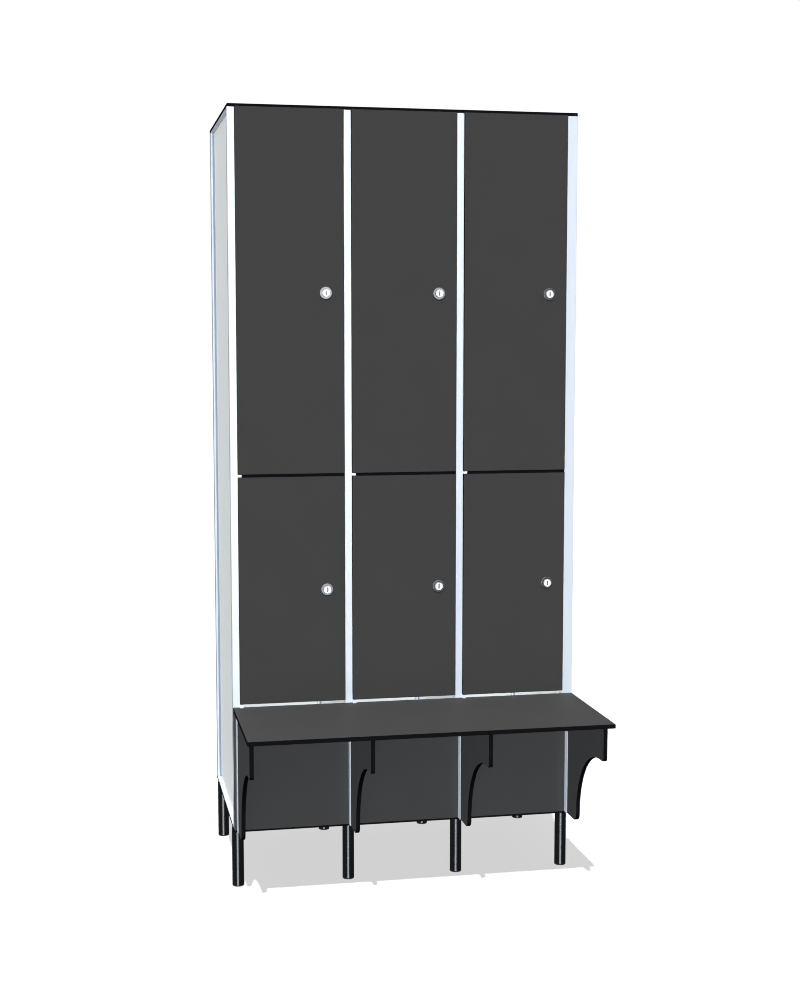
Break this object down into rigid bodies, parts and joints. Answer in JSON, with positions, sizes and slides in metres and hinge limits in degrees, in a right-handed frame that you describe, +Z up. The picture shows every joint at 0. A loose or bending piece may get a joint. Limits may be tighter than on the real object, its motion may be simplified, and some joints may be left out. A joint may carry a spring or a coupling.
{
  "type": "mudroom locker unit",
  "caption": "Two-tier locker unit on round legs, with pivoting laminate doors in aluminium frames, cam locks and a bracketed bench seat in front.",
  "frame": {"origin": "on the floor, at the middle of the unit's footprint, bench included", "axes": "+Z up, +X to the right seen from the front, doors and bench facing -Y"},
  "size_m": [0.854, 0.84, 1.885],
  "materials": {
    "dark_laminate": "matt",
    "light_panel": "satin",
    "aluminium": "satin anodised",
    "black_metal": "semi-gloss",
    "black_plastic": "matt",
    "lock_metal": "bright nickel",
    "steel": "zinc plated"
  },
  "bodies": {
    "cabinet": {"apron_panel": "dark_laminate", "back_panel_1": "light_panel", "back_panel_2": "light_panel", "back_panel_3": "light_panel", "base_panel": "dark_laminate", "bench_bracket_1": "dark_laminate", "bench_bracket_2": "dark_laminate", "bench_bracket_3": "dark_laminate", "bench_bracket_4": "dark_laminate", "bench_seat": "dark_laminate", "bottom_rails": "aluminium", "bracket_channels": "aluminium", "channel_screws": "steel", "coat_pegs": "aluminium", "divider_panel_1": "light_panel", "divider_panel_2": "light_panel", "front_upright_1": "aluminium", "front_upright_2": "aluminium", "front_upright_3": "aluminium", "front_upright_4": "aluminium", "leg_end_plugs": "black_plastic", "leg_studs": "steel", "leg_tubes": "black_metal", "panel_screws": "steel", "pivot_blocks": "aluminium", "pivot_pins": "steel", "rear_upright_1": "aluminium", "rear_upright_2": "aluminium", "rear_upright_3": "aluminium", "rear_upright_4": "aluminium", "seat_dowels": "steel", "shelf_pins": "steel", "side_panel_left": "light_panel", "side_panel_right": "light_panel", "strike_plates": "steel", "strike_screws": "steel", "tier_shelf_1": "dark_laminate", "tier_shelf_2": "dark_laminate", "tier_shelf_3": "dark_laminate", "top_panel": "dark_laminate", "top_pivot_blocks": "black_metal", "top_rails": "aluminium"},
    "lower_door_1": {"door_lower_1": "dark_laminate", "lock_housing_lower_1": "lock_metal"},
    "lower_lock_1": {"lock_cylinder_lower_1": "lock_metal"},
    "lower_door_2": {"door_lower_2": "dark_laminate", "lock_housing_lower_2": "lock_metal"},
    "lower_lock_2": {"lock_cylinder_lower_2": "lock_metal"},
    "lower_door_3": {"door_lower_3": "dark_laminate", "lock_housing_lower_3": "lock_metal"},
    "lower_lock_3": {"lock_cylinder_lower_3": "lock_metal"},
    "upper_door_1": {"door_upper_1": "dark_laminate", "lock_housing_upper_1": "lock_metal"},
    "upper_lock_1": {"lock_cylinder_upper_1": "lock_metal"},
    "upper_door_2": {"door_upper_2": "dark_laminate", "lock_housing_upper_2": "lock_metal"},
    "upper_lock_2": {"lock_cylinder_upper_2": "lock_metal"},
    "upper_door_3": {"door_upper_3": "dark_laminate", "lock_housing_upper_3": "lock_metal"},
    "upper_lock_3": {"lock_cylinder_upper_3": "lock_metal"}
  },
  "joints": [
    {"name": "lower_door_1_swing", "type": "hinge", "parent": "cabinet", "child": "lower_door_1", "pos_m": [-0.40475, -0.086, 0.73875], "axis": [0, 0, -1], "range_deg": [0, 110]},
    {"name": "lower_lock_1_turn", "type": "hinge", "parent": "lower_door_1", "child": "lower_lock_1", "pos_m": [-0.196, -0.09, 0.73875], "axis": [0, -1, 0], "range_deg": [0, 90]},
    {"name": "lower_door_2_swing", "type": "hinge", "parent": "cabinet", "child": "lower_door_2", "pos_m": [-0.12975, -0.086, 0.73875], "axis": [0, 0, -1], "range_deg": [0, 110]},
    {"name": "lower_lock_2_turn", "type": "hinge", "parent": "lower_door_2", "child": "lower_lock_2", "pos_m": [0.079, -0.09, 0.73875], "axis": [0, -1, 0], "range_deg": [0, 90]},
    {"name": "lower_door_3_swing", "type": "hinge", "parent": "cabinet", "child": "lower_door_3", "pos_m": [0.14525, -0.086, 0.73875], "axis": [0, 0, -1], "range_deg": [0, 110]},
    {"name": "lower_lock_3_turn", "type": "hinge", "parent": "lower_door_3", "child": "lower_lock_3", "pos_m": [0.354, -0.09, 0.73875], "axis": [0, -1, 0], "range_deg": [0, 90]},
    {"name": "upper_door_1_swing", "type": "hinge", "parent": "cabinet", "child": "upper_door_1", "pos_m": [-0.40475, -0.086, 1.4485], "axis": [0, 0, -1], "range_deg": [0, 110]},
    {"name": "upper_lock_1_turn", "type": "hinge", "parent": "upper_door_1", "child": "upper_lock_1", "pos_m": [-0.196, -0.09, 1.4485], "axis": [0, -1, 0], "range_deg": [0, 90]},
    {"name": "upper_door_2_swing", "type": "hinge", "parent": "cabinet", "child": "upper_door_2", "pos_m": [-0.12975, -0.086, 1.4485], "axis": [0, 0, -1], "range_deg": [0, 110]},
    {"name": "upper_lock_2_turn", "type": "hinge", "parent": "upper_door_2", "child": "upper_lock_2", "pos_m": [0.079, -0.09, 1.4485], "axis": [0, -1, 0], "range_deg": [0, 90]},
    {"name": "upper_door_3_swing", "type": "hinge", "parent": "cabinet", "child": "upper_door_3", "pos_m": [0.14525, -0.086, 1.4485], "axis": [0, 0, -1], "range_deg": [0, 110]},
    {"name": "upper_lock_3_turn", "type": "hinge", "parent": "upper_door_3", "child": "upper_lock_3", "pos_m": [0.354, -0.09, 1.4485], "axis": [0, -1, 0], "range_deg": [0, 90]}
  ]
}
